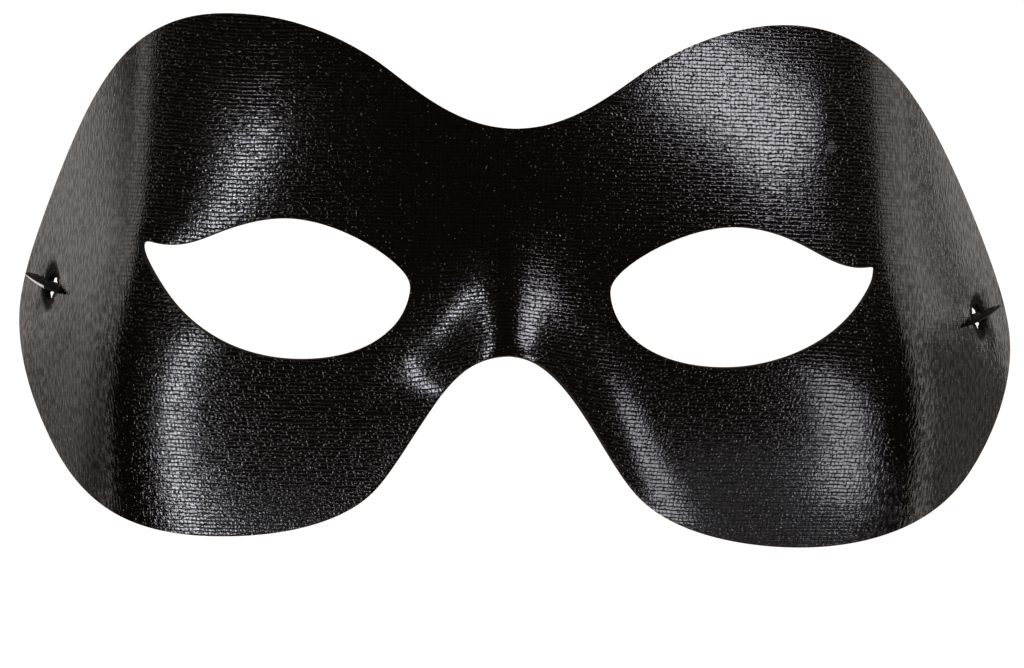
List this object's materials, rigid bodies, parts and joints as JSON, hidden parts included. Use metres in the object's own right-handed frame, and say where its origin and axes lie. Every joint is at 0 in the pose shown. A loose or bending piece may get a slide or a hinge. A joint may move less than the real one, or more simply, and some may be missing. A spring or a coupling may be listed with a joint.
{
  "type": "masquerade eye mask",
  "caption": "Plain black half mask of moulded, gloss-coated cloth with almond eye openings, a nose bridge, turned-back wings and an elastic cord on barbs.",
  "frame": {"origin": "middle of the mask's footprint, on the surface that it lies on face up", "axes": "+Z out of the front of the mask, +Y towards the forehead, X across from wing to wing"},
  "size_m": [0.1842, 0.093, 0.0572],
  "materials": {
    "coated_cloth": "black woven cloth moulded stiff, with a gloss coat that leaves the weave showing; plain matt inside",
    "barb": "smooth black, half gloss",
    "elastic": "matt black braided cover"
  },
  "bodies": {
    "root": {"mask_shell": "coated_cloth", "left_barb": "barb", "right_barb": "barb", "elastic_cord": "elastic"}
  },
  "joints": []
}
